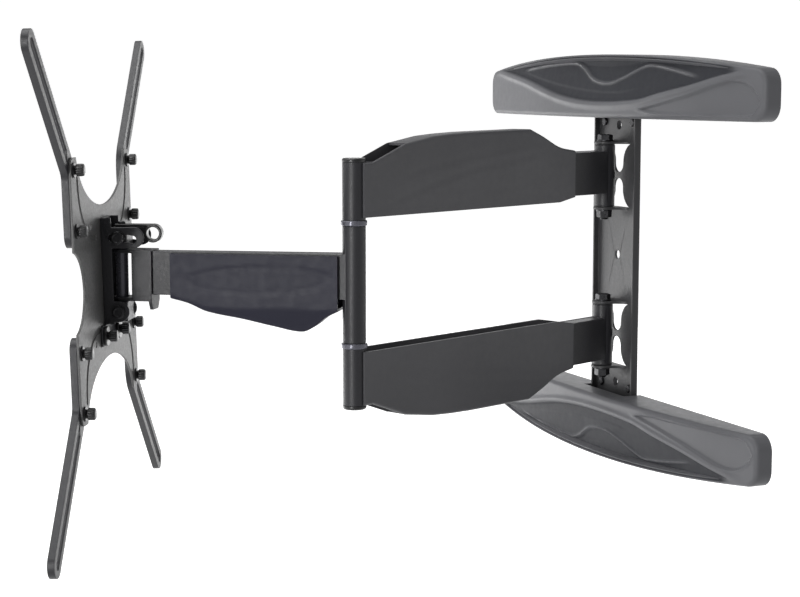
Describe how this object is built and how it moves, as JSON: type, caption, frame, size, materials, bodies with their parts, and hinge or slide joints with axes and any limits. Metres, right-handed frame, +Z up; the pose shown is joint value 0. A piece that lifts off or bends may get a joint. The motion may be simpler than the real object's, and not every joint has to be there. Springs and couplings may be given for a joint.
{
  "type": "full motion screen wall mount",
  "caption": "Full motion wall mount for a flat screen: covered wall plate, paired swing arms, folding forearm, swivel and tilt head, and a screen plate with slotted extension arms.",
  "frame": {"origin": "centre of the wall plate, on the plane of the wall", "axes": "+Z up, +Y into the wall, +X to the right when seen from the room"},
  "size_m": [0.53, 0.6342, 0.421],
  "materials": {
    "black_coat": "satin black powder coat with a fine orange-peel grain",
    "plate_coat": "mid-grey satin powder coat, brighter along the bends",
    "screen_coat": "light grey satin steel with faint vertical brushing",
    "cover_plastic": "fine-textured moulded plastic, soft satin sheen",
    "arm_plastic": "black moulded plastic with a fine spark-eroded texture",
    "forearm_plastic": "blue-black moulded plastic, satin",
    "black_fastener": "black oxide, slightly glossy",
    "pin_steel": "glossy black coated pin, long bright highlight",
    "bush_plastic": "black acetal bushing",
    "knob_plastic": "black moulded knob, satin"
  },
  "bodies": {
    "wall_side": {"wall_plate": "plate_coat", "upper_cross_bar": "black_coat", "lower_cross_bar": "black_coat", "plate_screws": "black_fastener", "cover_clips": "black_coat", "upper_cover": "cover_plastic", "lower_cover": "cover_plastic", "hinge_bolts": "black_fastener", "hinge_nuts": "black_fastener", "hinge_washers": "black_fastener"},
    "arm_pair": {"upper_arm": "black_coat", "lower_arm": "black_coat", "upper_arm_cover": "arm_plastic", "lower_arm_cover": "arm_plastic", "arm_bushings": "bush_plastic", "arm_cover_screws": "black_fastener", "elbow_pin": "pin_steel", "elbow_rings": "pin_steel", "elbow_top_cap": "knob_plastic", "elbow_bottom_cap": "knob_plastic"},
    "forearm_link": {"forearm": "black_coat", "forearm_cover": "forearm_plastic", "forearm_cover_screws": "black_fastener", "elbow_bushings": "bush_plastic", "swivel_bracket": "black_coat", "swivel_bushings": "bush_plastic"},
    "swivel_head": {"swivel_spindle": "pin_steel", "upper_tilt_block": "black_coat", "lower_tilt_block": "black_coat", "tilt_bolts": "black_fastener", "tilt_nuts": "black_fastener", "tilt_washers": "black_fastener", "friction_washers": "bush_plastic", "cable_loop": "knob_plastic", "loop_screw": "black_fastener"},
    "screen_head": {"tilt_channel": "black_coat", "screen_plate": "screen_coat", "plate_rivets": "black_fastener", "plate_lock_discs": "knob_plastic", "extension_arm_upper_right": "black_coat", "extension_arm_upper_left": "black_coat", "extension_arm_lower_right": "black_coat", "extension_arm_lower_left": "black_coat", "extension_bolts": "black_fastener", "extension_washers": "black_fastener", "extension_knobs": "knob_plastic"},
    "right_lock": {"lock_screw_right": "black_fastener"},
    "left_lock": {"lock_screw_left": "black_fastener"}
  },
  "joints": [
    {"name": "wall_swing", "type": "hinge", "parent": "wall_side", "child": "arm_pair", "pos_m": [0, -0.0205, 0], "axis": [0, 0, 1], "range_deg": [-66, 60]},
    {"name": "elbow_fold", "type": "hinge", "parent": "arm_pair", "child": "forearm_link", "pos_m": [0.14707, -0.3447, 0], "axis": [0, 0, -1], "range_deg": [-155, 78]},
    {"name": "screen_swivel", "type": "hinge", "parent": "forearm_link", "child": "swivel_head", "pos_m": [0.03247, -0.51589, 0], "axis": [0, 0, 1], "range_deg": [-45, 34]},
    {"name": "screen_tilt", "type": "hinge", "parent": "swivel_head", "child": "screen_head", "pos_m": [0.03247, -0.51589, -0.0265], "axis": [0.8942, -0.4478, 0], "range_deg": [-3.5, 10.5]},
    {"name": "right_lock_turn", "type": "hinge", "parent": "screen_head", "child": "right_lock", "pos_m": [0.05219, -0.53011, -0.04611], "axis": [-0.4476, -0.8938, -0.0262], "range_deg": [-300, 0]},
    {"name": "left_lock_turn", "type": "hinge", "parent": "screen_head", "child": "left_lock", "pos_m": [0.00927, -0.50862, -0.04611], "axis": [-0.4476, -0.8938, -0.0262], "range_deg": [-300, 0]}
  ]
}
